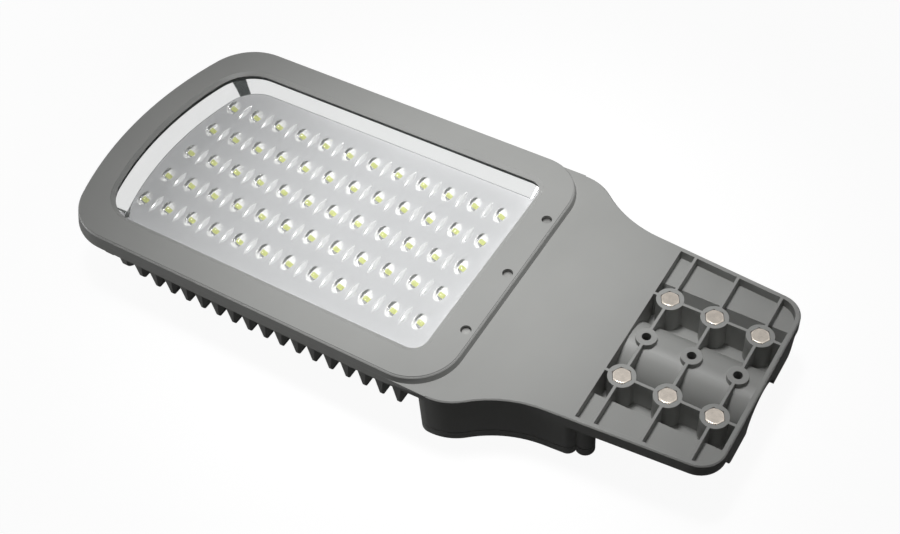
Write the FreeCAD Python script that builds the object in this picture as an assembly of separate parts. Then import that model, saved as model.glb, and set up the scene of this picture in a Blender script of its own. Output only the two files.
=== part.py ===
"""LED street light head for a tube arm, lying on its back with the light face up.

Frame: the origin is on the arm's axis at the mouth of the clamp channel.
+X points out of the mouth, along the arm. +Z is the way the light shines.
Lengths along the lamp are given as distances back from the mouth, so a point
at distance d has X = -d. Depths are measured down from the light face.
"""
import FreeCAD, Part
import math
import os
from FreeCAD import Vector

# Arm and clamp channel
pole_diameter = 50.0
pole_clearance = 0.1
arch_wall = 3.0
crown_cover = 3.9
clamp_wall = 5.0
clamp_gap = 6.0
clamp_ear = 8.0
clamp_ear_reach = 12.0
clamp_end_gap = 9.0
clamp_back_gap = 2.0
clamp_corner = 7.0

# Clamp bolts, M8
bolt_first = 20.0
bolt_pitch = 36.0
bolt_columns = 3
bolt_span = 80.0
bolt_radius = 4.0
bolt_length = 50.0
bolt_head_flats = 13.0
bolt_head_height = 5.3
bolt_head_proud = 0.3
bolt_head_chamfer = 0.9
nut_height = 6.5
washer_radius = 8.0
washer_thickness = 1.6

# Ribbed mount tray
rim_wall = 4.0
rib_thickness = 2.2
pocket_end = 105.0
tray_depth = 8.0
tray_floor = 3.5
trench_depth = 25.0
trench_floor = 3.0
trench_half = 58.0
trench_draft = 4.0
trench_round = 8.0
boss_radius = 10.5
lock_boss_radius = 8.0
lock_hole_radius = 3.5

# Outline of the casting, seen from the light side
head_half = 124.0
tip_reach = 578.0
tip_bow = 280.0
tip_corner = 48.0
shoulder_start = 207.0
shoulder_radius = 42.0
shoulder_turn = 40.0
waist_radius = 93.5
mount_taper = 4.5
end_corner = 20.0
edge_chamfer = 1.0

# Casting walls
plate_thickness = 4.0
skirt_wall = 3.5
head_skirt = 5.5
head_flare = 1.4
head_flare_run = 40.0
pan_floor = 4.5

# Cooling fins
fin_start = 14.5
fin_pitch = 15.4
fin_tip_margin = 26.0
fin_root = 14.0
fin_root_depth = 9.0
fin_middle = 10.4
fin_middle_depth = 17.5
fin_foot = 3.6
fin_foot_depth = 25.0
fin_belly_thickness = 2.0
fin_corner_length = 0.3
fin_corner_width = 0.5
fin_facet_reach = 9.0
fin_inset = 0.5
fin_end_depth = 26.5
fin_end_round = 2.5
fin_shelf = 10.0
fin_slope = 35.0
fin_belly_round = 30.0
fin_rise_length = 110.0
fin_rise = 0.354
fin_least_end = 9.0

# Front frame
frame_neck = 199.6
frame_neck_corner = 40.0
frame_height = 6.0
frame_draft = 1.2
frame_edge = 0.8
frame_rim = 1.4
frame_step = 0.6
frame_rebate = 3.2
lip_height = 4.0
lip_bevel = 3.6

frame_side_width = 28.7
frame_tip_width = 28.0
frame_neck_width = 29.9
window_tip_corner = 36.0
window_neck_corner = 12.0

# Glass and its channel seal
glass_thickness = 3.0
glass_overlap = 9.0
seal_leg = 0.8
seal_cover = 5.3
seal_clearance = 0.4

# Reflector ring, lens panel, board and emitters
ring_sheet = 0.9
ring_top_offset = 1.3
ring_side_inset = 5.5
ring_tip_inset = 9.0
ring_glass_gap = 0.3
panel_depth = 11.0
panel_thickness = 4.0
panel_offset = 3.5
board_thickness = 1.6
board_offset = -3.0
led_pitch_x = 24.7
led_pitch_y = 30.8
led_neck_margin = 22.3
led_tip_margin = 24.0
led_side_margin = 30.0
led_size = 3.5
led_height = 2.0
groove_width = 7.0
groove_depth = 2.3
lens_width = 10.0
lens_length = 13.0
lens_height = 5.0
lens_facets = 8
lens_crown = 0.55
prism_width = 6.0
prism_length = 20.0
prism_height = 2.4

# Driver compartment and its cover
box_left_corner = 10.0
box_right_corner = 7.0
seam_depth = 39.0
cover_seal_thickness = 1.0
cover_seal_inset = 0.6
cover_height = 10.0
cover_wall = 3.0
cover_edge = 3.0
lug_radius = 7.5
lug_thickness = 7.4
lug_right_half = 79.0
lug_left_half = 76.0
lug_reach = 4.5

# Driver, terminal block and wire entries
driver_length = 150.0
driver_height = 34.0
driver_room = 9.3
driver_gap = 1.0
driver_edge = 2.0
driver_tab = 12.0
driver_tab_thickness = 2.0
driver_tab_width = 30.0
terminal_length = 34.0
terminal_width = 16.0
terminal_height = 18.0
terminal_room = 7.5
terminal_side = 46.0
terminal_poles = 3
grommet_hole = 9.0
grommet_bore = 4.5
grommet_lip = 2.0
grommet_rise = 5.0
wire_hole = 4.0
wire_bore = 2.0
wire_side = 40.0
earth_side = -46.0

# Small screws: shank radius, head radius or half flats, head height, length
frame_screw = (2.0, 3.5, 2.0, 10.0)
board_screw = (1.5, 2.6, 1.7, 5.0)
driver_screw = (2.0, 3.5, 2.8, 5.0)
cover_screw = (2.5, 4.0, 3.5, 16.0)
frame_screw_set_back = 9.5
frame_screw_side = 62.0
frame_screw_sink = 4.6
screw_head_gap = 0.7
screw_boss_wall = 2.8
hole_gap = 0.25
thread_gap = 0.05
tip_gap = 1.0

# Heights and radii worked out from the sizes above
bore_radius = pole_diameter / 2 + pole_clearance
arch_radius = bore_radius + arch_wall
clamp_radius = bore_radius + clamp_wall
face = arch_radius + crown_cover
belly_depth = face + clamp_radius
skirt_depth = tray_depth + tray_floor
lobe_depth = trench_depth + trench_floor
ledge_depth = glass_thickness + 2 * seal_leg - frame_rebate
board_top = panel_depth + panel_thickness
pan_depth = board_top + board_thickness
pan_bottom = pan_depth + pan_floor
recess_offset = glass_overlap + seal_leg + seal_clearance
cavity_offset = glass_overlap + seal_leg - seal_cover
box_left = shoulder_start + box_left_corner + edge_chamfer
cover_top = seam_depth + cover_seal_thickness
cover_bottom = cover_top + cover_height
lug_left = box_left + lug_reach
lug_right = pocket_end - lug_reach
clamp_top = face - lobe_depth - clamp_gap
driver_base = plate_thickness
window_half = head_half - frame_side_width
window_tip = tip_reach - frame_tip_width
window_neck = frame_neck + frame_neck_width
window_bow = tip_bow - frame_tip_width
led_first = window_neck + led_neck_margin
led_columns = int((window_tip - led_tip_margin - led_first) / led_pitch_x) + 1
led_rows = 2 * int((window_half - led_side_margin) / led_pitch_y) + 1
fin_first = box_left + fin_start
fin_count = int((tip_reach - fin_tip_margin - fin_first) / fin_pitch) + 1
fin_rise_start = tip_reach - fin_rise_length
frame_screw_row = frame_neck + frame_screw_set_back
terminal_middle = pocket_end + skirt_wall + terminal_room + terminal_width / 2
driver_near = terminal_middle + terminal_width / 2 + driver_gap
driver_width = frame_screw_row - frame_screw[0] - screw_boss_wall - driver_room - driver_near
driver_middle = driver_near + driver_width / 2


def level(depth):
    """Height of a point at this depth under the light face."""
    return face - depth


def polar(centre, radius, degrees):
    """Point on a circle in the plan, angle from +X towards +Y."""
    turn = math.radians(degrees)
    return (centre[0] + radius * math.cos(turn), centre[1] + radius * math.sin(turn))


def closed_wire(start, steps, place):
    """Lines and arcs through plan points: a step is an end point, or a middle and an end."""
    edges = []
    here = start
    for step in steps:
        if isinstance(step[0], tuple):
            middle, there = step
            edges.append(Part.Arc(place(here), place(middle), place(there)).toShape())
        else:
            there = step
            edges.append(Part.LineSegment(place(here), place(there)).toShape())
        here = there
    return Part.Wire(edges)


def plan(height):
    """Places plan points at a height."""
    return lambda point: Vector(point[0], point[1], height)


def section(distance):
    """Places points (Y, Z) across the lamp at a distance from the mouth."""
    return lambda point: Vector(-distance, point[0], point[1])


def mirrored(start, steps):
    """The steps of a half outline followed by their mirror image across Y = 0."""
    ends = [start] + [step[1] if isinstance(step[0], tuple) else step for step in steps]
    back = []
    for index in range(len(steps) - 1, -1, -1):
        there = (ends[index][0], -ends[index][1])
        if isinstance(steps[index][0], tuple):
            middle = steps[index][0]
            back.append(((middle[0], -middle[1]), there))
        else:
            back.append(there)
    across = (ends[-1][0], -ends[-1][1])
    return steps + [across] + back


def prism(wire, rise):
    """Straight solid on a plan wire."""
    return Part.Face(wire).extrude(Vector(0, 0, rise))


def bar(wire, length):
    """Straight solid on a cross section, running towards the mouth."""
    return Part.Face(wire).extrude(Vector(length, 0, 0))


def block(x_low, x_high, y_low, y_high, z_low, z_high):
    """Box between two corners."""
    size = Vector(x_high - x_low, y_high - y_low, z_high - z_low)
    return Part.makeBox(size.x, size.y, size.z, Vector(x_low, y_low, z_low))


def rod(distance, side, radius, z_low, z_high):
    """Upright cylinder."""
    return Part.makeCylinder(radius, z_high - z_low, Vector(-distance, side, z_low))


def hexagon(distance, side, flats, z_low, z_high):
    """Upright hexagonal prism, two flats facing along Y."""
    corner = flats / math.sqrt(3)
    points = [polar((-distance, side), corner, 60 * index) for index in range(6)]
    return prism(closed_wire(points[0], points[1:] + points[:1], plan(z_low)), z_high - z_low)


def edges_at(shape, height):
    """Edges that lie flat at a height."""
    return [edge for edge in shape.Edges
            if abs(edge.BoundBox.ZMin - height) < 1e-6 and abs(edge.BoundBox.ZMax - height) < 1e-6]


def bow_and_corner(half, tip, bow, corner):
    """Bowed tip end of an outline: where bow, corner and straight side meet."""
    bow_centre = (bow - tip, 0.0)
    reach = math.sqrt((bow - corner) ** 2 - (half - corner) ** 2)
    corner_centre = (bow_centre[0] - reach, half - corner)
    meet = 180 - math.degrees(math.asin((half - corner) / (bow - corner)))
    start = polar(bow_centre, bow, meet)
    middle = polar(corner_centre, corner, (meet + 90) / 2)
    side = (corner_centre[0], half)
    return start, (middle, side)


def casting_side(inset):
    """Shoulder, waist and tapered side of the casting, from the head to the mouth corner."""
    turn = math.radians(shoulder_turn)
    taper = math.radians(mount_taper)
    shoulder = (-shoulder_start, head_half - shoulder_radius)
    start = (shoulder[0], head_half - inset)
    bend = polar(shoulder, shoulder_radius - inset, 90 - shoulder_turn)
    bend_middle = polar(shoulder, shoulder_radius - inset, 90 - shoulder_turn / 2)
    waist = (shoulder[0] + (shoulder_radius + waist_radius) * math.sin(turn),
             shoulder[1] + (shoulder_radius + waist_radius) * math.cos(turn))
    waist_middle = polar(waist, waist_radius + inset, 270 - (shoulder_turn + mount_taper) / 2)
    waist_end = polar(waist, waist_radius + inset, 270 - mount_taper)
    steps = [start, (bend_middle, bend), (waist_middle, waist_end)]
    away = waist_end[0] * math.sin(taper) + waist_end[1] * math.cos(taper)
    return steps, away


def taper_corner(away, wall_x, radius):
    """Rounded corner between the tapered side and a wall across the lamp."""
    taper = math.radians(mount_taper)
    centre_x = wall_x - radius
    centre = (centre_x, (away - radius - centre_x * math.sin(taper)) / math.cos(taper))
    start = polar(centre, radius, 90 - mount_taper)
    middle = polar(centre, radius, (90 - mount_taper) / 2)
    return [start, (middle, (wall_x, centre[1]))]


def casting_wire(inset, height):
    """Outline of the whole casting, moved inwards by the inset."""
    start, corner = bow_and_corner(head_half - inset, tip_reach - inset,
                                   tip_bow - inset, tip_corner - inset)
    side, away = casting_side(inset)
    end = taper_corner(away, -inset, end_corner - inset)
    apex = (inset - tip_reach, 0.0)
    steps = mirrored(start, [corner] + side + end)
    return closed_wire(start, steps + [(apex, start)], plan(height))


def box_wire(inset, height):
    """Outline of the driver compartment, moved inwards by the inset."""
    left = -box_left + inset
    radius = box_left_corner - inset
    corner_centre = (left + radius, head_half - inset - radius)
    start = (left, corner_centre[1])
    corner = (polar(corner_centre, radius, 135), (corner_centre[0], head_half - inset))
    side, away = casting_side(inset)
    end = taper_corner(away, -pocket_end - inset, box_right_corner - inset)
    return closed_wire(start, mirrored(start, [corner] + side + end) + [start], plan(height))


def panel_wire(half, tip, neck, bow, corner, neck_corner, height):
    """Outline with a bowed tip end and a straight neck end."""
    start, tip_arc = bow_and_corner(half, tip, bow, corner)
    centre = (-neck - neck_corner, half - neck_corner)
    neck_arc = (polar(centre, neck_corner, 45), (-neck, centre[1]))
    steps = mirrored(start, [tip_arc, (centre[0], half), neck_arc])
    return closed_wire(start, steps + [((-tip, 0.0), start)], plan(height))


def frame_wire(inset, height):
    """Outer edge of the front frame, moved inwards by the inset."""
    return panel_wire(head_half - inset, tip_reach - inset, frame_neck + inset, tip_bow - inset,
                      tip_corner - inset, frame_neck_corner - inset, height)


def window_wire(offset, height):
    """Window outline, moved outwards by the offset."""
    return panel_wire(window_half + offset, window_tip + offset, window_neck - offset,
                      window_bow + offset, window_tip_corner + offset,
                      window_neck_corner + offset, height)


def ring_between(outer, inner, z_low, z_high):
    """Straight ring between two window offsets."""
    rise = z_high - z_low
    return prism(window_wire(outer, z_low), rise).cut(prism(window_wire(inner, z_low), rise))


def bolt_places():
    """Distance and side of each clamp bolt."""
    return [(bolt_first + bolt_pitch * column, side * bolt_span / 2)
            for column in range(bolt_columns) for side in (-1, 1)]


def lock_places():
    """Distances of the lock screw bosses on the centre line."""
    return [bolt_first + bolt_pitch * column for column in range(bolt_columns)]


def led_places():
    """Distance and side of each emitter."""
    return [(led_first + led_pitch_x * column, led_pitch_y * (row - (led_rows - 1) / 2))
            for column in range(led_columns) for row in range(led_rows)]


def frame_screw_places():
    """Distance and side of each front frame screw."""
    return [(frame_screw_row, frame_screw_side * step) for step in (-1, 0, 1)]


def board_screw_places():
    """Board screws stand between emitters in the outer rows."""
    columns = (1.5, led_columns - 2.5)
    side = led_pitch_y * (led_rows - 1) / 2
    return [(led_first + led_pitch_x * column, side * step) for column in columns for step in (-1, 1)]


def cover_screw_places():
    """Distance and side of each cover lug."""
    return [(lug_right, lug_right_half), (lug_right, -lug_right_half),
            (lug_left, lug_left_half), (lug_left, -lug_left_half)]


def driver_screw_places():
    """One screw in each driver tab."""
    side = driver_length / 2 + driver_tab / 2
    return [(driver_middle, side), (driver_middle, -side)]


def head_half_at(distance):
    """Half width of the head at a distance from the mouth."""
    start, corner = bow_and_corner(head_half, tip_reach, tip_bow, tip_corner)
    corner_x = corner[1][0]
    if -distance > corner_x:
        return head_half
    if -distance > start[0]:
        return head_half - tip_corner + math.sqrt(tip_corner ** 2 - (corner_x + distance) ** 2)
    return math.sqrt(tip_bow ** 2 - (tip_reach - tip_bow - distance) ** 2)


def fin(distance):
    """Cooling fin across the head: blunt drafted ends, then a slope down to a flat belly."""
    half = head_half_at(distance) - fin_inset
    rise = fin_rise * max(0.0, distance - fin_rise_start)
    end = level(max(fin_end_depth - rise, fin_least_end))
    belly = level(belly_depth - rise)
    slope = math.radians(fin_slope)
    end_centre = (half - fin_end_round, end + fin_end_round)
    end_middle = polar(end_centre, fin_end_round, -45)
    shelf = half - fin_shelf
    drop = end - belly - fin_belly_round * (1 - math.cos(slope))
    slope_low = (shelf - drop / math.tan(slope), end - drop)
    flat = slope_low[0] - fin_belly_round * math.sin(slope)
    belly_centre = (flat, belly + fin_belly_round)
    belly_middle = polar(belly_centre, fin_belly_round, fin_slope / 2 - 90)
    top = level(plate_thickness / 2)
    steps = [(half, end_centre[1]), (end_middle, (end_centre[0], end)), (shelf, end), slope_low]
    steps += [(belly_middle, (flat, belly)), (-flat, belly)]
    steps += [((-belly_middle[0], belly_middle[1]), (-slope_low[0], slope_low[1]))]
    steps += [(-shelf, end), (-end_centre[0], end)]
    steps += [((-end_middle[0], end_middle[1]), (-half, end_centre[1])), (-half, top), (half, top)]
    solid = bar(closed_wire((half, top), steps, section(distance + fin_root / 2)), fin_root)
    solid = solid.common(fin_draft(distance, half))
    for way in (-1, 1):
        for side in (-1, 1):
            solid = solid.cut(fin_corner(distance, half, way, side))
    return solid


def fin_draft(distance, half):
    """Cross section of a fin along its whole length: wide at the root, thin at the belly."""
    widths = [(fin_root, plate_thickness / 2), (fin_root, fin_root_depth), (fin_middle, fin_middle_depth),
              (fin_foot, fin_foot_depth), (fin_belly_thickness, belly_depth)]
    points = [Vector(width / 2 - distance, -half, level(depth)) for width, depth in widths]
    points += [Vector(-width / 2 - distance, -half, level(depth)) for width, depth in reversed(widths)]
    face_of_fin = Part.Face(Part.makePolygon(points + points[:1]))
    return face_of_fin.extrude(Vector(0, 2 * half, 0))


def fin_corner(distance, half, way, side):
    """What a sloping facet takes off one corner of a fin's end."""
    root = fin_root / 2
    foot = fin_foot / 2
    set_back = Vector(-distance + way * root, side * (half - fin_root * fin_corner_length),
                      level(fin_root_depth))
    across = Vector(-way * root * fin_corner_width, side * fin_root * fin_corner_length, 0)
    down = Vector(-distance + way * foot, side * (half - fin_foot * fin_corner_length),
                  level(fin_foot_depth)) - set_back
    out = across.cross(down).normalize()
    if out.x * way < 0:
        out = out * -1
    wide = across * fin_facet_reach
    long = down * fin_facet_reach
    corners = [set_back - wide - long, set_back + wide - long,
               set_back + wide + long, set_back - wide + long]
    facet = Part.Face(Part.makePolygon(corners + corners[:1]))
    return facet.extrude(out * head_half)


def lobe_section(inset, distance):
    """Cross section of the bolt trenches under the tray."""
    half = trench_half + trench_floor - inset
    foot = half - trench_draft
    bottom = level(lobe_depth - inset)
    radius = trench_round - inset / 2
    lean = math.atan2(trench_draft, lobe_depth - tray_depth)
    top = level(tray_depth)
    round_centre = (foot - radius, bottom + radius)
    side_end = polar(round_centre, radius, math.degrees(-lean))
    middle = polar(round_centre, radius, -45 - math.degrees(lean) / 2)
    floor_end = (round_centre[0], bottom)
    steps = [side_end, (middle, floor_end), (-floor_end[0], bottom),
             ((-middle[0], middle[1]), (-side_end[0], side_end[1])), (-half, top), (half, top)]
    return closed_wire((half, top), steps, section(distance))


def half_space(distance_near, distance_far, z_low, z_high):
    """Slab across the whole lamp between two distances."""
    return block(-distance_far, -distance_near, -2 * head_half, 2 * head_half, z_low, z_high)


def outer_casting():
    """Outer form of the casting before its hollows are cut."""
    body = prism(casting_wire(0.0, level(skirt_depth)), skirt_depth)
    open_edges = [edge for edge in edges_at(body, face) if edge.CenterOfMass.x > -shoulder_start]
    body = body.makeChamfer(edge_chamfer, open_edges)
    body = body.cut(half_space(shoulder_start, 2 * tip_reach, level(skirt_depth), level(head_skirt)))
    flare = Part.makeLoft([casting_wire(-head_flare, level(head_skirt)), casting_wire(0.0, face)], True, True)
    flare = flare.common(half_space(shoulder_start, 2 * tip_reach, level(head_skirt), face))
    for side in (-1, 1):
        flare = flare.cut(flare_end(side))
    body = body.fuse(flare)
    under = prism(casting_wire(skirt_wall, level(skirt_depth)), skirt_depth - plate_thickness)
    body = body.cut(under.common(half_space(box_left, 2 * tip_reach, level(belly_depth), face)))
    step_depth = ledge_depth + skirt_wall
    sunk = plate_thickness / 2
    pan_rim = prism(window_wire(recess_offset + skirt_wall, level(step_depth)), step_depth - sunk)
    pan = prism(window_wire(cavity_offset + skirt_wall, level(pan_bottom)), pan_bottom - sunk)
    box = prism(box_wire(0.0, level(seam_depth)), seam_depth - plate_thickness)
    inside = prism(casting_wire(fin_inset, level(belly_depth)), belly_depth - plate_thickness / 2)
    fins = [fin(fin_first + fin_pitch * index).common(inside) for index in range(fin_count)]
    lugs = [rod(distance, side, lug_radius, level(seam_depth), level(tray_depth))
            for distance, side in cover_screw_places()]
    lobes = bar(lobe_section(0.0, pocket_end), pocket_end)
    sleeve = along(wire_hole + screw_boss_wall, -window_neck, window_neck - box_left,
                   wire_side, wire_height())
    return body.multiFuse([pan_rim, pan, box, lobes, sleeve] + fins + lugs)


def flare_end(side):
    """What tapers the head's flare off where it meets the neck."""
    wide = side * (head_half + head_flare)
    points = [(-shoulder_start, side * head_half), (-shoulder_start - head_flare_run, wide),
              (-shoulder_start, wide)]
    return prism(closed_wire(points[0], points[1:] + points[:1], plan(level(head_skirt))), head_skirt)


def mount_ribs():
    """Arch over the arm, bolt bosses, lock screw bosses and the rib grid of the mount."""
    low = level(lobe_depth)
    length = pocket_end - rim_wall / 2
    arch = Part.makeCylinder(arch_radius, length, Vector(-pocket_end, 0, 0), Vector(1, 0, 0))
    pieces = [arch]
    for distance, side in bolt_places():
        pieces.append(rod(distance, side, boss_radius, low, face))
    for distance in lock_places():
        pieces.append(rod(distance, 0.0, lock_boss_radius, level(crown_cover + arch_wall), face))
        pieces.append(block(-distance - rib_thickness / 2, -distance + rib_thickness / 2,
                            -head_half, head_half, low, face))
    for side in (-1, 1):
        near = side * bolt_span / 2 - rib_thickness / 2
        pieces.append(block(-pocket_end, 0.0, near, near + rib_thickness, low, face))
    grid = pieces[0].multiFuse(pieces[1:])
    tray_reach = tray_depth + tray_floor / 2
    tray = prism(casting_wire(rim_wall / 2, level(tray_reach)), tray_reach)
    trench = bar(lobe_section(trench_floor / 2, pocket_end), pocket_end - rim_wall / 2)
    return grid.common(tray.fuse(trench))


def casting_hollows():
    """Glass recess, lamp cavity, driver compartment and mount pockets."""
    recess = prism(window_wire(recess_offset, level(ledge_depth)), ledge_depth)
    cavity = prism(window_wire(cavity_offset, level(pan_depth)), pan_depth)
    box = prism(box_wire(skirt_wall, level(seam_depth)), seam_depth - plate_thickness)
    tray = prism(casting_wire(rim_wall, level(tray_depth)), tray_depth)
    tray = tray.common(half_space(0.0, pocket_end, level(tray_depth), face))
    trench = bar(lobe_section(trench_floor, pocket_end), pocket_end - rim_wall)
    return [recess, cavity, box, tray, trench]


def screw_boss(place, screw, top, depth):
    """Boss under a plate for a screw that enters from above."""
    return rod(place[0], place[1], screw[0] + screw_boss_wall, level(depth), top)


def tapped(place, screw, z_low, z_high):
    """Hole that a screw's thread sits in."""
    return rod(place[0], place[1], screw[0] + thread_gap, z_low, z_high)


def frame_screw_tip():
    """Depth of a frame screw's tip under the face."""
    return frame_screw[3] - (frame_height - frame_screw_sink)


def housing():
    """Die-cast body: finned pan, driver compartment and ribbed clamp mount in one casting."""
    body = outer_casting()
    bosses = [screw_boss(place, frame_screw, level(plate_thickness / 2),
                         frame_screw_tip() + tip_gap + screw_boss_wall) for place in frame_screw_places()]
    for hollow in casting_hollows():
        body = body.cut(hollow)
    body = body.multiFuse([mount_ribs()] + bosses)
    channel = Part.makeCylinder(bore_radius, pocket_end, Vector(-pocket_end, 0, 0), Vector(1, 0, 0))
    cuts = [channel]
    for distance, side in bolt_places():
        cuts.append(rod(distance, side, bolt_radius + hole_gap, level(lobe_depth), face))
        pocket = bolt_head_flats + 2 * hole_gap
        cuts.append(hexagon(distance, side, pocket, level(bolt_head_height - bolt_head_proud), face))
    for distance in lock_places():
        cuts.append(rod(distance, 0.0, lock_hole_radius, 0.0, face))
    for place in frame_screw_places():
        cuts.append(tapped(place, frame_screw, level(frame_screw_tip() + tip_gap), face))
    for place in board_screw_places():
        depth = board_top + board_screw[3] + tip_gap / 2
        cuts.append(tapped(place, board_screw, level(depth), level(board_top)))
    for place in driver_screw_places() + [earth_place()]:
        depth = driver_base + driver_tab_thickness - driver_screw[3] - tip_gap / 2
        cuts.append(tapped(place, driver_screw, level(driver_base), level(depth)))
    for place in cover_screw_places():
        cuts.append(tapped(place, cover_screw, level(seam_depth), level(seam_depth - cover_screw[3])))
    cuts.append(along(grommet_hole, -pocket_end - skirt_wall, skirt_wall, 0.0, grommet_rise))
    wire_run = window_neck - box_left + 2 * skirt_wall
    cuts.append(along(wire_hole, -window_neck, wire_run, wire_side, wire_height()))
    for cut in cuts:
        body = body.cut(cut)
    return body.removeSplitter()


def earth_place():
    """Earth screw beside the terminal block."""
    return (terminal_middle, earth_side)


def wire_height():
    """Wire hole into the lamp cavity, midway between the deck and the pan's floor."""
    return level((plate_thickness + pan_depth) / 2)


def along(radius, x_low, length, side, height):
    """Cylinder along the lamp."""
    return Part.makeCylinder(radius, length, Vector(x_low, side, height), Vector(1, 0, 0))


def front_frame():
    """Front frame: stepped ring with a bevelled window, a rebate for the glass and sunk screw holes."""
    top = face + frame_height
    rim = top - frame_step
    solid = Part.makeLoft([frame_wire(0.0, face), frame_wire(frame_draft, rim - frame_edge),
                           frame_wire(frame_draft + frame_edge, rim)], True, True)
    solid = solid.fuse(prism(frame_wire(frame_draft + frame_rim, face), frame_height))
    solid = solid.cut(prism(window_wire(0.0, face), frame_height))
    solid = solid.cut(prism(window_wire(recess_offset, face), frame_rebate))
    bevel = Part.makeLoft([window_wire(0.0, face + lip_height), window_wire(lip_bevel, top)], True, True)
    solid = solid.cut(bevel)
    for distance, side in frame_screw_places():
        solid = solid.cut(rod(distance, side, frame_screw[1] + screw_head_gap, top - frame_screw_sink, top))
        solid = solid.cut(rod(distance, side, frame_screw[0] + hole_gap, face, top))
    return solid.removeSplitter()


def round_screw(place, screw, seat):
    """Screw with a round head, its head standing up from the seat."""
    shank, head, height, length = screw
    top = rod(place[0], place[1], head, seat, seat + height)
    return top.fuse(rod(place[0], place[1], shank, seat - length, seat)).removeSplitter()


def hex_screw(place, screw, seat, way):
    """Screw with a hexagon head; way is 1 for a head above the seat, -1 for below."""
    shank, half_flats, height, length = screw
    head_ends = sorted((seat, seat + way * height))
    shank_ends = sorted((seat, seat - way * length))
    head = hexagon(place[0], place[1], 2 * half_flats, head_ends[0], head_ends[1])
    return head.fuse(rod(place[0], place[1], shank, shank_ends[0], shank_ends[1])).removeSplitter()


def frame_screws():
    """Round head screws sunk in the front frame."""
    seat = face + frame_height - frame_screw_sink
    return Part.makeCompound([round_screw(place, frame_screw, seat) for place in frame_screw_places()])


def glass_cover():
    """Flat toughened glass."""
    return prism(window_wire(glass_overlap, level(ledge_depth - seal_leg)), glass_thickness)


def glass_seal():
    """Channel seal round the edge of the glass."""
    outer = glass_overlap + seal_leg
    solid = ring_between(outer, outer - seal_cover, level(ledge_depth), face + frame_rebate)
    return solid.cut(prism(window_wire(glass_overlap, level(ledge_depth - seal_leg)), glass_thickness))


def reflector_ring():
    """Sloping mirror wall between the lens panel and the glass."""
    low = level(panel_depth)
    high = level(ledge_depth - seal_leg + ring_glass_gap)
    inner = Part.makeLoft([ring_wire(0.0, low), window_wire(ring_top_offset, high)], True, True)
    outer = Part.makeLoft([ring_wire(ring_sheet, low),
                           window_wire(ring_top_offset + ring_sheet, high)], True, True)
    return outer.cut(inner)


def ring_wire(offset, height):
    """Lower edge of the mirror wall, which slopes more at the tip than at the sides."""
    inset = ring_side_inset - offset
    tip_inset = ring_tip_inset - offset
    return panel_wire(window_half - inset, window_tip - tip_inset, window_neck + inset,
                      window_bow - tip_inset, window_tip_corner - inset,
                      window_neck_corner - inset, height)


def lens(distance, side):
    """Faceted oval dome over one emitter."""
    low = level(panel_depth)
    base = []
    crown = []
    for index in range(lens_facets):
        turn = 2 * math.pi / lens_facets * (index + 0.5)
        across = lens_width / 2 * math.cos(turn)
        endways = lens_length / 2 * math.sin(turn)
        base.append(Vector(-distance + across, side + endways, low))
        crown.append(Vector(-distance + across * lens_crown, side + endways * lens_crown, low + lens_height))
    faces = [Part.Face(Part.makePolygon(ring + ring[:1])) for ring in (base, crown)]
    for index in range(lens_facets):
        after = (index + 1) % lens_facets
        loop = [base[index], base[after], crown[after], crown[index], base[index]]
        faces.append(Part.Face(Part.makePolygon(loop)))
    return Part.Solid(Part.Shell(faces))


def leaf_prism(distance, side):
    """Leaf-shaped ridge between two emitters: a roof over a pointed outline."""
    low = level(panel_depth)
    ends = [Vector(-distance, side + way * prism_length / 2, low) for way in (-1, 1)]
    sides = [Vector(-distance + way * prism_width / 2, side, low) for way in (-1, 1)]
    ridge = Vector(-distance, side, low + prism_height)
    loop = [ends[0], sides[1], ends[1], sides[0]]
    faces = [Part.Face(Part.makePolygon(loop + loop[:1]))]
    for index in range(len(loop)):
        corner = loop[index]
        after = loop[(index + 1) % len(loop)]
        faces.append(Part.Face(Part.makePolygon([corner, after, ridge, corner])))
    return Part.Solid(Part.Shell(faces))


def lens_panel():
    """Moulded optic: a plate with a dome over each emitter and a ridge between neighbours."""
    low = level(board_top)
    plate = prism(window_wire(panel_offset, low), panel_thickness)
    rows = [led_pitch_y * (row - (led_rows - 1) / 2) for row in range(led_rows)]
    first = -led_first + led_pitch_x / 2
    last = -led_first - led_pitch_x * (led_columns - 0.5)
    for row in rows:
        plate = plate.cut(block(last, first, row - groove_width / 2, row + groove_width / 2,
                                low, low + groove_depth))
    domes = [lens(distance, side) for distance, side in led_places()]
    ridges = [leaf_prism(led_first + led_pitch_x * (column + 0.5), row)
              for column in range(led_columns - 1) for row in rows]
    return plate.multiFuse(domes + ridges)


def led_board():
    """Metal-core board under the lens panel."""
    low = level(pan_depth)
    solid = prism(window_wire(board_offset, low), board_thickness)
    for place in board_screw_places():
        solid = solid.cut(rod(place[0], place[1], board_screw[0] + hole_gap, low, low + board_thickness))
    return solid


def leds():
    """Emitters soldered on the board."""
    low = level(board_top)
    half = led_size / 2
    return Part.makeCompound([block(-distance - half, -distance + half, side - half, side + half,
                                    low, low + led_height) for distance, side in led_places()])


def board_screws():
    """Screws that press the board on the casting, in the panel's grooves."""
    return Part.makeCompound([hex_screw(place, board_screw, level(board_top), 1)
                              for place in board_screw_places()])


def driver():
    """Potted LED driver: a case with a screw tab at each end."""
    top = level(driver_base)
    case = block(-driver_middle - driver_width / 2, -driver_middle + driver_width / 2,
                 -driver_length / 2, driver_length / 2, top - driver_height, top)
    case = case.makeChamfer(driver_edge, edges_at(case, top - driver_height))
    for place in driver_screw_places():
        tab = block(-place[0] - driver_tab_width / 2, -place[0] + driver_tab_width / 2,
                    place[1] - driver_tab / 2, place[1] + driver_tab / 2, top - driver_tab_thickness, top)
        tab = tab.cut(rod(place[0], place[1], driver_screw[0] + hole_gap, top - driver_tab_thickness, top))
        case = case.fuse(tab)
    return case.removeSplitter()


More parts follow.
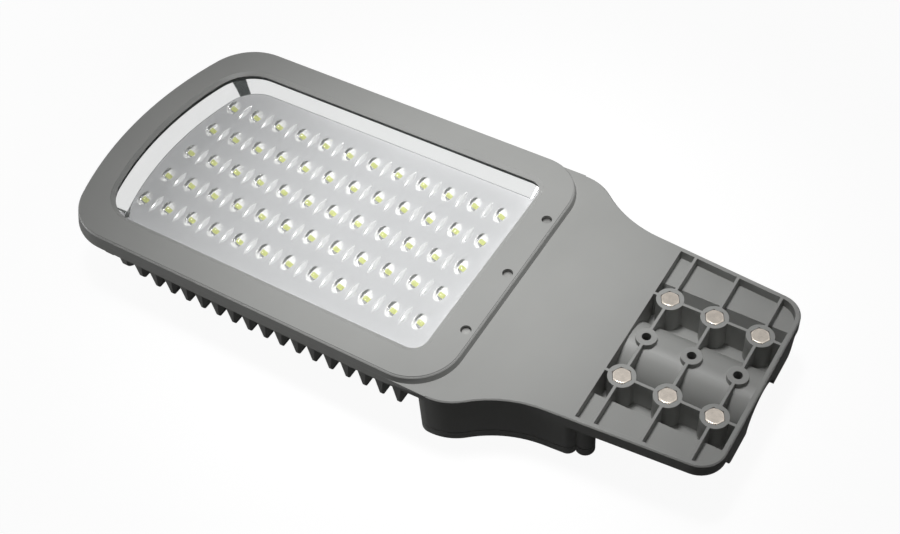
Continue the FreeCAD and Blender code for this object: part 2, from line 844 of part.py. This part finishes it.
def driver_screws():
    """Screws through the driver's tabs."""
    seat = level(driver_base + driver_tab_thickness)
    return Part.makeCompound([hex_screw(place, driver_screw, seat, -1) for place in driver_screw_places()])


def earth_terminal():
    """Earth screw in the compartment's ceiling."""
    seat = level(driver_base + driver_tab_thickness)
    screw = hex_screw(earth_place(), driver_screw, seat, -1)
    collar = rod(terminal_middle, earth_side, driver_screw[1] + screw_head_gap, seat, level(driver_base))
    return collar.fuse(screw).removeSplitter()


def terminal_block():
    """Terminal block with one entry funnel for each pole on both sides."""
    top = level(driver_base)
    low = top - terminal_height
    solid = block(-terminal_middle - terminal_width / 2, -terminal_middle + terminal_width / 2,
                  terminal_side - terminal_length / 2, terminal_side + terminal_length / 2, low, top)
    pitch = terminal_length / terminal_poles
    for index in range(terminal_poles):
        middle = terminal_side + pitch * (index - (terminal_poles - 1) / 2)
        entry = block(-terminal_middle - terminal_width, -terminal_middle - terminal_width / 4,
                      middle - pitch / 4, middle + pitch / 4,
                      top - terminal_height / 2, top - terminal_height / 5)
        solid = solid.cut(entry)
        solid = solid.cut(entry.mirror(Vector(-terminal_middle, 0, 0), Vector(1, 0, 0)))
        solid = solid.cut(block(-terminal_middle - pitch / 5, -terminal_middle + pitch / 5,
                                middle - pitch / 5, middle + pitch / 5, low, low + terminal_height / 4))
    return solid


def driver_cover():
    """Dished lid of the driver compartment with four screw lugs."""
    low = level(cover_bottom)
    high = level(cover_top)
    foot = Part.makeLoft([box_wire(cover_edge, low), box_wire(0.0, low + cover_edge)], True, True)
    solid = prism(box_wire(0.0, low + cover_edge), cover_height - cover_edge)
    lugs = [rod(distance, side, lug_radius, high - lug_thickness, high)
            for distance, side in cover_screw_places()]
    solid = solid.multiFuse([foot] + lugs)
    solid = solid.cut(prism(box_wire(skirt_wall + cover_wall, low + cover_wall), cover_height))
    for place in cover_screw_places():
        solid = solid.cut(rod(place[0], place[1], cover_screw[0] + hole_gap, low, low + cover_height))
    return solid.removeSplitter()


def cover_seal():
    """Flat seal between the compartment's wall and its cover."""
    low = level(cover_top)
    outer = prism(box_wire(cover_seal_inset, low), cover_seal_thickness)
    inner = prism(box_wire(skirt_wall, low), cover_seal_thickness)
    solid = outer.cut(inner)
    for place in cover_screw_places():
        solid = solid.cut(rod(place[0], place[1], cover_screw[0] + hole_gap, low, level(seam_depth)))
    return solid


def cover_screws():
    """Hexagon screws under the cover's lugs."""
    seat = level(cover_top + lug_thickness)
    return Part.makeCompound([hex_screw(place, cover_screw, seat, -1) for place in cover_screw_places()])


def cable_grommet():
    """Rubber bush for the supply cable, in the wall at the end of the arm channel."""
    wall = -pocket_end - skirt_wall
    profile = [(wall - grommet_lip, grommet_bore), (wall - grommet_lip, grommet_hole + grommet_lip),
               (wall, grommet_hole + grommet_lip), (wall, grommet_hole - pole_clearance),
               (wall + skirt_wall, grommet_hole - pole_clearance), (wall + skirt_wall, grommet_bore)]
    return turned(profile, 0.0, grommet_rise)


def wire_grommet():
    """Rubber bush for the board's leads, between the compartment and the lamp cavity."""
    wall = -box_left + skirt_wall
    start = -window_neck + cavity_offset
    body = wire_hole - pole_clearance
    profile = [(start, wire_bore), (start, body), (wall, body), (wall, body + grommet_lip),
               (wall + grommet_lip, body + grommet_lip), (wall + grommet_lip, wire_bore)]
    return turned(profile, wire_side, wire_height())


def turned(profile, side, height):
    """Solid of revolution about an axis along the lamp: profile is (X, radius)."""
    points = [Vector(x, side + radius, height) for x, radius in profile]
    face_of_turn = Part.Face(Part.makePolygon(points + points[:1]))
    return face_of_turn.revolve(Vector(0, side, height), Vector(1, 0, 0), 360)


def pole_clamp():
    """Saddle that draws the arm into the channel: a half round with bolt ears."""
    length = pocket_end - clamp_end_gap - clamp_back_gap
    start = -pocket_end + clamp_back_gap
    reach = bolt_span / 2 + clamp_ear_reach
    low = clamp_top - clamp_ear
    ears = block(start, start + length, -reach, reach, low, clamp_top)
    upright = [edge for edge in ears.Edges if edge.BoundBox.ZLength > clamp_ear / 2]
    ears = ears.makeFillet(clamp_corner, upright)
    saddle = along(clamp_radius, start, length, 0.0, 0.0)
    saddle = saddle.common(block(start, start + length, -reach, reach, -clamp_radius, clamp_top))
    solid = ears.fuse(saddle).cut(along(bore_radius, start, length, 0.0, 0.0))
    for distance, side in bolt_places():
        solid = solid.cut(rod(distance, side, bolt_radius + hole_gap, low, clamp_top))
    return solid.removeSplitter()


def clamp_bolts():
    """Hexagon bolts held in the pockets of the bosses."""
    seat = level(bolt_head_height - bolt_head_proud)
    bolts = []
    for distance, side in bolt_places():
        head = hexagon(distance, side, bolt_head_flats, seat, seat + bolt_head_height)
        flats = bolt_head_flats / 2
        cone = Part.makeCone(flats + bolt_head_height * 1.7, flats - bolt_head_chamfer / 4,
                             bolt_head_height, Vector(-distance, side, seat))
        shank = rod(distance, side, bolt_radius, seat - bolt_length, seat)
        bolts.append(head.common(cone).fuse(shank).removeSplitter())
    return Part.makeCompound(bolts)


def clamp_washers():
    """Plain washers under the nuts."""
    high = clamp_top - clamp_ear
    low = high - washer_thickness
    return Part.makeCompound([rod(distance, side, washer_radius, low, high).cut(
        rod(distance, side, bolt_radius + hole_gap, low, high)) for distance, side in bolt_places()])


def clamp_nuts():
    """Hexagon nuts under the saddle."""
    high = clamp_top - clamp_ear - washer_thickness
    low = high - nut_height
    return Part.makeCompound([hexagon(distance, side, bolt_head_flats, low, high).cut(
        rod(distance, side, bolt_radius + thread_gap, low, high)) for distance, side in bolt_places()])


PIECES = {
    "housing": housing,
    "front_frame": front_frame,
    "frame_screws": frame_screws,
    "glass_cover": glass_cover,
    "glass_seal": glass_seal,
    "reflector_ring": reflector_ring,
    "lens_panel": lens_panel,
    "led_board": led_board,
    "leds": leds,
    "board_screws": board_screws,
    "driver": driver,
    "driver_screws": driver_screws,
    "terminal_block": terminal_block,
    "earth_terminal": earth_terminal,
    "driver_cover": driver_cover,
    "cover_seal": cover_seal,
    "cover_screws": cover_screws,
    "cable_grommet": cable_grommet,
    "wire_grommet": wire_grommet,
    "pole_clamp": pole_clamp,
    "clamp_bolts": clamp_bolts,
    "clamp_washers": clamp_washers,
    "clamp_nuts": clamp_nuts,
}


def main():
    """Writes every piece to its own file."""
    os.makedirs("parts", exist_ok=True)
    for name, make in PIECES.items():
        make().exportStep("parts/" + name + ".step")


main()
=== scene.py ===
import math

import bmesh
import bpy
from mathutils import Matrix, Vector


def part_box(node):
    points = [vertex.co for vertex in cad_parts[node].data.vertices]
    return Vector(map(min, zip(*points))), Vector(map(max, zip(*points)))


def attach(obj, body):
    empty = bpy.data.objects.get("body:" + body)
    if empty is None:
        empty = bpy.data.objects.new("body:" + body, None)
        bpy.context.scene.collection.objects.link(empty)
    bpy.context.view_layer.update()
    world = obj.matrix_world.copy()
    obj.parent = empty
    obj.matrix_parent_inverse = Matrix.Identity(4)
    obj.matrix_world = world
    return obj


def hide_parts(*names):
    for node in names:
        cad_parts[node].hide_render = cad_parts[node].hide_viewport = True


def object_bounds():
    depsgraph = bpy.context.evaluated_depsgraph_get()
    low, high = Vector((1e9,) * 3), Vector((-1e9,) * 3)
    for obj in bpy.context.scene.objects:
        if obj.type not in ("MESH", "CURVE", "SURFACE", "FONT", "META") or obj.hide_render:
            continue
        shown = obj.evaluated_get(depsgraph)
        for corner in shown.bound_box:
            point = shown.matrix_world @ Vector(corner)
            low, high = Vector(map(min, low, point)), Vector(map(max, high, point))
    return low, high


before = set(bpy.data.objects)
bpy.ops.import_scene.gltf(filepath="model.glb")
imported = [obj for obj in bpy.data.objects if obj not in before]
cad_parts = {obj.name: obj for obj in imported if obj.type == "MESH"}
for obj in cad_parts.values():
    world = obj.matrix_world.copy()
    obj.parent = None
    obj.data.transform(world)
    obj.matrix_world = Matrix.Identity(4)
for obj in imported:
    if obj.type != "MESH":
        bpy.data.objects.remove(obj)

MM = 0.001
cad_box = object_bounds()

# Camera: places in metres, roll in degrees, lens and sensor in millimetres
camera_place = Vector((0.1396, -0.5597, 0.8306))
camera_aim = Vector((-0.2540, -0.0117, 0.0320))
camera_roll = -5.65
camera_lens = 54.03
sensor_width = 36.0
camera_near = 0.01
camera_far = 50.0

# Emitter grid
led_columns = 12
led_rows = 5
led_size = 3.5 * MM

# Plate of the lens panel, and the fine groove along the foot of the reflector ring
panel_thickness = 4.0 * MM
panel_bow = 255.5 * MM
panel_tip_corner = 39.5 * MM
panel_neck_corner = 15.5 * MM
ring_inset = 9.0 * MM
ring_tip_inset = 12.5 * MM
groove_width = 0.6 * MM
groove_depth = 0.8 * MM
weld_distance = 0.001 * MM
neck_corner_steps = 8
tip_corner_steps = 12
bow_steps = 32

# Lens domes: the dip between the lobes is a share of the height, the plate's hole a share of the oval
lens_half_width = 5.0 * MM
lens_half_length = 8.0 * MM
lens_height = 5.0 * MM
lens_dip = 0.42
lens_dip_width = 1.7 * MM
lens_hole = 0.96
lens_hole_depth = 0.8 * MM
lens_points = 28
lens_rings = 7

# Leaf-shaped ridges between the lenses
leaf_half_width = 3.0 * MM
leaf_half_length = 10.0 * MM
leaf_height = 2.4 * MM
leaf_long_steps = 14
leaf_cross_steps = 8

# Colours, linear
grey_paint = (0.362, 0.365, 0.354)
frame_paint = (0.362, 0.365, 0.355)
dark_rubber = (0.012, 0.012, 0.012)
plate_grey = (0.62, 0.62, 0.63)
# Ridges: the white is painted highlight, standing in for the light that the clear moulded ridges catch
ridge_highlight_white = (0.95, 0.95, 0.95)
board_white = (0.74, 0.74, 0.73)
phosphor = (0.44, 0.47, 0.13)
bright_sheet = (0.93, 0.93, 0.93)
bolt_metal = (0.66, 0.60, 0.53)
screw_metal = (0.38, 0.38, 0.37)
case_plastic = (0.55, 0.55, 0.53)
block_plastic = (0.70, 0.68, 0.62)
optic_tint = (0.97, 0.97, 0.97)
pane_tint = (0.75, 0.82, 0.80)
floor_grey = (0.10, 0.10, 0.10)
card_black = (0.01, 0.01, 0.01)
card_grey = (0.48, 0.48, 0.48)
white = (1.0, 1.0, 1.0)
black = (0.0, 0.0, 0.0)

# Finish: drift of the colour, fine grain, eased edges
drift_low = 0.3
drift_high = 0.7
drift_detail = 4.0
grain_strength = 0.6
grain_detail = 3.0
edge_samples = 6
optic_index = 1.49
optic_rough = 0.02
pane_rough = 0.3
pane_alpha = 0.05
emitter_rough = 0.5
emitter_top = 0.5

# Floor and surroundings: strengths, where 1 is white
floor_size = 12.0
floor_x = -0.3
floor_rough = 0.9
floor_glow = 0.94
world_light = 0.05
world_seen = 0.9

# Lamps: places and sizes in metres, cone in degrees, power in watts
key_place = (-0.28, 0.03, 1.18)
key_aim = (-0.265, 0.025, 0.03)
key_radius = 0.14
key_cone = 31.0
key_blend = 0.75
key_power = 42.0
fill_place = (-0.28, 0.15, 1.7)
fill_aim = (-0.28, 0.0, 0.03)
fill_size = 0.6
fill_power = 4.0
side_place = (-1.25, -0.40, 0.22)
side_aim = (-0.40, -0.1, 0.0)
side_size = 0.4
side_power = 2.6

# Studio cards out of view
dark_card_place = (0.255, -0.631, 1.087)
dark_card_aim = (-0.53, 0.083, 0.027)
dark_card_size = 0.7
grey_card_place = (-0.34, 0.82, 1.2)
grey_card_aim = (-0.06, 0.0, 0.03)
grey_card_size = 0.6


def new_material(name):
    """Empty procedural material: gives the material, its node tree and its shader."""
    made = bpy.data.materials.new(name)
    made.use_nodes = True
    return made, made.node_tree, made.node_tree.nodes["Principled BSDF"]


def rgba(colour):
    """Opaque colour for a shader's socket."""
    return colour + (1.0,)


def shade(colour, factor):
    """Colour made lighter or darker."""
    return rgba(tuple(min(1.0, part * factor) for part in colour))


def noise(tree, scale, detail):
    """Noise field over the object, in its own coordinates."""
    node = tree.nodes.new("ShaderNodeTexNoise")
    node.inputs["Scale"].default_value = scale
    node.inputs["Detail"].default_value = detail
    place = tree.nodes.new("ShaderNodeTexCoord").outputs["Object"]
    tree.links.new(place, node.inputs["Vector"])
    return node.outputs["Fac"]


def mottle(tree, shader, colour, spread, scale):
    """Base colour that drifts a little over the surface."""
    ramp = tree.nodes.new("ShaderNodeValToRGB")
    low, high = ramp.color_ramp.elements
    low.position = drift_low
    high.position = drift_high
    low.color = shade(colour, 1 - spread)
    high.color = shade(colour, 1 + spread)
    tree.links.new(noise(tree, scale, drift_detail), ramp.inputs["Fac"])
    tree.links.new(ramp.outputs["Color"], shader.inputs["Base Color"])


def grain(tree, shader, scale, depth, edge):
    """Fine relief, over edges that are eased by a small radius."""
    bump = tree.nodes.new("ShaderNodeBump")
    bump.inputs["Strength"].default_value = grain_strength
    bump.inputs["Distance"].default_value = depth
    tree.links.new(noise(tree, scale, grain_detail), bump.inputs["Height"])
    if edge:
        bevel = tree.nodes.new("ShaderNodeBevel")
        bevel.samples = edge_samples
        bevel.inputs["Radius"].default_value = edge
        tree.links.new(bevel.outputs["Normal"], bump.inputs["Normal"])
    tree.links.new(bump.outputs["Normal"], shader.inputs["Normal"])


def solid_material(name, colour, rough, metal=0.0, spread=0.05, scale=40.0, fine=900.0,
                   depth=0.02 * MM, edge=0.0, gloss=0.5):
    """Opaque finish: spread and scale of its colour drift, fine and depth of its grain, eased edge."""
    made, tree, shader = new_material(name)
    shader.inputs["Roughness"].default_value = rough
    shader.inputs["Metallic"].default_value = metal
    shader.inputs["Specular IOR Level"].default_value = gloss
    mottle(tree, shader, colour, spread, scale)
    grain(tree, shader, fine, depth, edge)
    return made


def paint_material(name, colour, rough, edge):
    """Satin powder coat on a casting."""
    return solid_material(name, colour, rough, spread=0.03, scale=14.0, fine=1400.0,
                          depth=0.03 * MM, edge=edge, gloss=0.3)


def optic_material(name):
    """Clear moulded plastic."""
    made, tree, shader = new_material(name)
    shader.inputs["Transmission Weight"].default_value = 1.0
    shader.inputs["IOR"].default_value = optic_index
    shader.inputs["Roughness"].default_value = optic_rough
    mottle(tree, shader, optic_tint, spread=0.02, scale=60.0)
    return made


def pane_material(name):
    """Clear flat glass that shows little more than its edge."""
    made, tree, shader = new_material(name)
    shader.inputs["Roughness"].default_value = pane_rough
    shader.inputs["Alpha"].default_value = pane_alpha
    mottle(tree, shader, pane_tint, spread=0.05, scale=20.0)
    return made


def emitter_material(name):
    """Yellow phosphor on the top of a white package."""
    made, tree, shader = new_material(name)
    shader.inputs["Roughness"].default_value = emitter_rough
    normal = tree.nodes.new("ShaderNodeTexCoord").outputs["Normal"]
    split = tree.nodes.new("ShaderNodeSeparateXYZ")
    tree.links.new(normal, split.inputs["Vector"])
    ramp = tree.nodes.new("ShaderNodeValToRGB")
    ramp.color_ramp.interpolation = "CONSTANT"
    package, top = ramp.color_ramp.elements
    package.color = rgba(board_white)
    top.position = emitter_top
    top.color = rgba(phosphor)
    tree.links.new(split.outputs["Z"], ramp.inputs["Fac"])
    tree.links.new(ramp.outputs["Color"], shader.inputs["Base Color"])
    return made


def dress(node, made):
    """Gives a CAD node a material."""
    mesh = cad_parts[node].data
    mesh.materials.clear()
    mesh.materials.append(made)


def dress_nodes():
    """Materials of every CAD node apart from the lens panel. A node that isn't named is steel."""
    cast = paint_material("cast_grey", grey_paint, rough=0.42, edge=0.5 * MM)
    framed = paint_material("frame_grey", frame_paint, rough=0.40, edge=0.25 * MM)
    rubber = solid_material("black_rubber", dark_rubber, rough=0.6)
    steel = solid_material("screw_steel", screw_metal, rough=0.3, metal=1.0, spread=0.08, scale=300.0)
    bolts = solid_material("bolt_steel", bolt_metal, rough=0.26, metal=1.0, spread=0.08, scale=240.0,
                           fine=1500.0, edge=1.1 * MM)
    mirror = solid_material("mirror_sheet", bright_sheet, rough=0.06, metal=1.0, spread=0.01, scale=30.0,
                            fine=200.0, depth=0.005 * MM)
    looks = {
        "housing": cast, "driver_cover": cast, "pole_clamp": cast, "front_frame": framed,
        "glass_cover": pane_material("clear_glass"), "glass_seal": rubber, "cover_seal": rubber,
        "cable_grommet": rubber, "wire_grommet": rubber,
        "reflector_ring": mirror,
        "led_board": solid_material("board_white", board_white, rough=0.5),
        "leds": emitter_material("emitter"),
        "driver": solid_material("driver_case", case_plastic, rough=0.5),
        "terminal_block": solid_material("terminal_plastic", block_plastic, rough=0.45),
        "clamp_bolts": bolts, "clamp_nuts": bolts, "clamp_washers": bolts,
    }
    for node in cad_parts:
        if node != "lens_panel":
            dress(node, looks.get(node, steel))


def add_piece(name, bm, made, node, smooth):
    """New piece of the object that stands for a CAD node."""
    mesh = bpy.data.meshes.new(name)
    bm.to_mesh(mesh)
    bm.free()
    for face in mesh.polygons:
        face.use_smooth = smooth
    mesh.materials.append(made)
    piece = bpy.data.objects.new(name, mesh)
    bpy.context.scene.collection.objects.link(piece)
    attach(piece, "root")
    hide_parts(node)
    return piece


def led_grid():
    """Centres of the emitters, and of the ridges between them, read from the emitters' box."""
    low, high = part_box("leds")
    first = low + Vector((led_size, led_size, 0.0)) / 2
    step_x = (high.x - low.x - led_size) / (led_columns - 1)
    step_y = (high.y - low.y - led_size) / (led_rows - 1)
    places = [(first.x + step_x * column, first.y + step_y * row)
              for row in range(led_rows) for column in range(led_columns)]
    leaves = [(first.x + step_x * (column + 0.5), first.y + step_y * row)
              for row in range(led_rows) for column in range(led_columns - 1)]
    return places, leaves


def arc(centre, radius, start, end, count):
    """Points on an arc, angles in degrees."""
    turns = [math.radians(start + (end - start) * step / count) for step in range(count + 1)]
    return [(centre[0] + radius * math.cos(turn), centre[1] + radius * math.sin(turn)) for turn in turns]


def panel_outline(inset=0.0, tip_inset=0.0):
    """Outline of the lens panel, moved inwards: bowed tip end, round corners, straight neck end."""
    low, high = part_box("lens_panel")
    half = high.y - inset
    bow = panel_bow - tip_inset
    tip_corner = panel_tip_corner - inset
    neck_corner = panel_neck_corner - inset
    bow_centre = low.x + panel_bow
    inner = half - tip_corner
    span = bow - tip_corner
    corner_x = bow_centre - math.sqrt(span ** 2 - inner ** 2)
    meet = 180 - math.degrees(math.asin(inner / span))
    neck = (high.x - inset - neck_corner, half - neck_corner)
    points = arc(neck, neck_corner, 0, 90, neck_corner_steps)
    points += arc((corner_x, inner), tip_corner, 90, meet, tip_corner_steps)
    points += arc((bow_centre, 0.0), bow, meet, 360 - meet, bow_steps)[1:-1]
    points += arc((corner_x, -inner), tip_corner, 360 - meet, 270, tip_corner_steps)
    points += arc((neck[0], -neck[1]), neck_corner, 270, 360, neck_corner_steps)
    return points


def panel_top():
    """Height of the top of the lens panel's plate."""
    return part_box("lens_panel")[0].z + panel_thickness


def lens_outline(centre, factor):
    """Oval of one lens, at a share of its full size."""
    turns = [2 * math.pi * step / lens_points for step in range(lens_points)]
    return [(centre[0] + factor * lens_half_width * math.cos(turn),
             centre[1] + factor * lens_half_length * math.sin(turn)) for turn in turns]


def loop_edges(bm, points, height):
    """Closed loop of edges at a height."""
    verts = [bm.verts.new((x, y, height)) for x, y in points]
    return [bm.edges.new((verts[step - 1], verts[step])) for step in range(len(verts))]


def groove_floor(bm, rim, field, height):
    """Floor of the groove, between its outer and its inner edge."""
    loops = [[bm.verts.new((x, y, height)) for x, y in points] for points in (rim, field)]
    for step in range(len(rim)):
        bm.faces.new((loops[0][step - 1], loops[0][step], loops[1][step], loops[1][step - 1]))


def panel_plate(made, places):
    """Plate of the lens panel, open under each dome and grooved along the ring's foot."""
    top = panel_top()
    bm = bmesh.new()
    outline = loop_edges(bm, panel_outline(), top)
    rim_points = panel_outline(ring_inset, ring_tip_inset)
    field_points = panel_outline(ring_inset + groove_width, ring_tip_inset + groove_width)
    rim = loop_edges(bm, rim_points, top)
    field = loop_edges(bm, field_points, top)
    holes = []
    for place in places:
        holes += loop_edges(bm, lens_outline(place, lens_hole), top)
    for bounds in (outline + rim, field + holes):
        bmesh.ops.triangle_fill(bm, edges=bounds, use_beauty=True, normal=(0, 0, 1))
    depths = ((outline, panel_thickness), (holes, lens_hole_depth), (rim + field, groove_depth))
    for loops, depth in depths:
        sides = bmesh.ops.extrude_edge_only(bm, edges=loops)["geom"]
        verts = [part for part in sides if isinstance(part, bmesh.types.BMVert)]
        bmesh.ops.translate(bm, vec=(0, 0, -depth), verts=verts)
    groove_floor(bm, rim_points, field_points, top - groove_depth)
    bmesh.ops.remove_doubles(bm, verts=bm.verts, dist=weld_distance)
    bmesh.ops.recalc_face_normals(bm, faces=bm.faces)
    add_piece("panel_plate", bm, made, "lens_panel", False)


def dome_height(offset, factor):
    """Height of a dome at a share of its oval, with the saddle between its lobes taken off."""
    saddle = 1 - lens_dip * math.exp(-(offset / lens_dip_width) ** 2)
    return lens_height * math.sqrt(1 - factor ** 2) * saddle


def dome(bm, centre, base):
    """One clear lens: an oval dome of two lobes."""
    previous = [bm.verts.new((x, y, base)) for x, y in lens_outline(centre, 1.0)]
    for ring in range(1, lens_rings):
        factor = math.cos(math.pi / 2 * ring / lens_rings)
        verts = [bm.verts.new((x, y, base + dome_height(x - centre[0], factor)))
                 for x, y in lens_outline(centre, factor)]
        for step in range(lens_points):
            bm.faces.new((previous[step - 1], previous[step], verts[step], verts[step - 1]))
        previous = verts
    crown = bm.verts.new((centre[0], centre[1], base + dome_height(0.0, 0.0)))
    for step in range(lens_points):
        bm.faces.new((previous[step - 1], previous[step], crown))


def leaf(bm, centre, base):
    """One leaf-shaped ridge: a rounded rib that runs out to a point at both ends."""
    rows = []
    for step in range(1, leaf_long_steps):
        along = 2 * step / leaf_long_steps - 1
        taper = 1 - along ** 2
        row = []
        for cross in range(leaf_cross_steps + 1):
            side = 2 * cross / leaf_cross_steps - 1
            row.append(bm.verts.new((centre[0] + side * leaf_half_width * taper,
                                     centre[1] + along * leaf_half_length,
                                     base + leaf_height * taper * (1 - side ** 2))))
        rows.append(row)
    for first, second in zip(rows, rows[1:]):
        for cross in range(leaf_cross_steps):
            bm.faces.new((first[cross], first[cross + 1], second[cross + 1], second[cross]))
    for row, way in ((rows[0][::-1], -1), (rows[-1], 1)):
        end = bm.verts.new((centre[0], centre[1] + way * leaf_half_length, base))
        for cross in range(leaf_cross_steps):
            bm.faces.new((row[cross], row[cross + 1], end))


def lens_pieces(made, ridge, places, leaves):
    """Domes and ridges of the lens panel. The clear domes cast no shadow."""
    domes = bmesh.new()
    for place in places:
        dome(domes, place, panel_top())
    add_piece("lens_domes", domes, made, "lens_panel", True).visible_shadow = False
    ribs = bmesh.new()
    for place in leaves:
        leaf(ribs, place, panel_top())
    add_piece("leaf_ridges", ribs, ridge, "lens_panel", True)


def lens_panel():
    """Lens panel: plate, domes and ridges, in place of the CAD node."""
    places, leaves = led_grid()
    plate = solid_material("panel_plate", plate_grey, rough=0.6, metal=0.05, spread=0.02, scale=20.0,
                           fine=300.0, depth=0.01 * MM)
    clear = optic_material("clear_optic")
    # The ridges are clear in the moulding; their opaque white is painted highlight
    ridge = solid_material("optic_ridge", ridge_highlight_white, rough=0.12, metal=0.35, spread=0.02, scale=60.0)
    dress("lens_panel", clear)
    panel_plate(plate, places)
    lens_pieces(clear, ridge, places, leaves)


def studio_floor():
    """Floor that shows as the white background and keeps a soft shadow."""
    bpy.ops.mesh.primitive_plane_add(size=floor_size, location=(floor_x, 0.0, cad_box[0].z))
    floor = bpy.context.active_object
    floor.name = "studio_floor"
    made, tree, shader = new_material("floor_white")
    shader.inputs["Base Color"].default_value = rgba(floor_grey)
    shader.inputs["Roughness"].default_value = floor_rough
    shader.inputs["Specular IOR Level"].default_value = 0.0
    shader.inputs["Emission Color"].default_value = rgba(white)
    path = tree.nodes.new("ShaderNodeLightPath")
    glow = tree.nodes.new("ShaderNodeMath")
    glow.operation = "MULTIPLY"
    glow.inputs[1].default_value = floor_glow
    tree.links.new(path.outputs["Is Camera Ray"], glow.inputs[0])
    tree.links.new(glow.outputs["Value"], shader.inputs["Emission Strength"])
    floor.data.materials.append(made)


def seen_rays(tree):
    """1 for rays from the camera, from gloss and through glass."""
    path = tree.nodes.new("ShaderNodeLightPath")
    seen = path.outputs["Is Camera Ray"]
    for kind in ("Is Glossy Ray", "Is Transmission Ray"):
        either = tree.nodes.new("ShaderNodeMath")
        either.operation = "MAXIMUM"
        tree.links.new(seen, either.inputs[0])
        tree.links.new(path.outputs[kind], either.inputs[1])
        seen = either.outputs["Value"]
    return seen


def studio_world():
    """White surroundings for the eye, dim ones as light."""
    world = bpy.data.worlds.new("studio")
    bpy.context.scene.world = world
    world.use_nodes = True
    tree = world.node_tree
    back = tree.nodes["Background"]
    back.inputs["Color"].default_value = rgba(white)
    strength = tree.nodes.new("ShaderNodeMapRange")
    strength.inputs["To Min"].default_value = world_light
    strength.inputs["To Max"].default_value = world_seen
    tree.links.new(seen_rays(tree), strength.inputs["Value"])
    tree.links.new(strength.outputs["Result"], back.inputs["Strength"])


def hang(name, lamp, place, aim):
    """Puts a lamp in its place, facing a point."""
    holder = bpy.data.objects.new(name, lamp)
    holder.location = place
    holder.rotation_mode = "QUATERNION"
    holder.rotation_quaternion = (Vector(aim) - Vector(place)).to_track_quat("-Z", "Y")
    bpy.context.scene.collection.objects.link(holder)


def spot(name, place, aim, radius, cone, blend, power):
    """Soft round lamp whose light fades towards the edge of its cone."""
    lamp = bpy.data.lights.new(name, "SPOT")
    lamp.shadow_soft_size = radius
    lamp.spot_size = math.radians(cone)
    lamp.spot_blend = blend
    lamp.energy = power
    hang(name, lamp, place, aim)


def softbox(name, place, aim, size, power):
    """Square area lamp that faces a point."""
    lamp = bpy.data.lights.new(name, "AREA")
    lamp.size = size
    lamp.energy = power
    hang(name, lamp, place, aim)


def studio_lamps():
    """Soft spot over the head, a weak softbox above it and a low one off the tip."""
    spot("key", key_place, key_aim, key_radius, key_cone, key_blend, key_power)
    softbox("fill", fill_place, fill_aim, fill_size, fill_power)
    softbox("side", side_place, side_aim, side_size, side_power)


def glow_material(name):
    """Card that glows an even grey of its own, standing in for a card lit by a lamp."""
    made, _, shader = new_material(name)
    shader.inputs["Base Color"].default_value = rgba(black)
    shader.inputs["Specular IOR Level"].default_value = 0.0
    shader.inputs["Emission Color"].default_value = rgba(card_grey)
    shader.inputs["Emission Strength"].default_value = 1.0
    return made


def card(name, place, aim, size, made):
    """Square card out of view, seen only in reflections and as shade."""
    bpy.ops.mesh.primitive_plane_add(size=size, location=place)
    made_card = bpy.context.active_object
    made_card.name = name
    made_card.rotation_mode = "QUATERNION"
    made_card.rotation_quaternion = (Vector(aim) - Vector(place)).to_track_quat("Z", "Y")
    made_card.visible_camera = False
    made_card.data.materials.append(made)


def studio_cards():
    """Dark card behind the camera, mirrored by the ring, and a grey one that glows and that the bolt
    heads mirror.
    """
    dull = solid_material("card_black", card_black, rough=0.9)
    card("dark_card", dark_card_place, dark_card_aim, dark_card_size, dull)
    card("grey_card", grey_card_place, grey_card_aim, grey_card_size, glow_material("card_grey"))


def studio_camera():
    """Camera at the photograph's place."""
    lens = bpy.data.cameras.new("camera")
    lens.lens = camera_lens
    lens.sensor_width = sensor_width
    lens.clip_start = camera_near
    lens.clip_end = camera_far
    holder = bpy.data.objects.new("camera", lens)
    holder.rotation_mode = "QUATERNION"
    holder.location = camera_place
    look = (camera_aim - camera_place).to_track_quat("-Z", "Y")
    roll = Matrix.Rotation(math.radians(camera_roll), 3, "Z").to_quaternion()
    holder.rotation_quaternion = look @ roll
    bpy.context.scene.collection.objects.link(holder)
    bpy.context.scene.camera = holder


def main():
    """Dresses the object and sets the studio."""
    dress_nodes()
    lens_panel()
    studio_floor()
    studio_world()
    studio_lamps()
    studio_cards()
    studio_camera()
    bpy.context.scene.view_settings.view_transform = "Standard"


main()
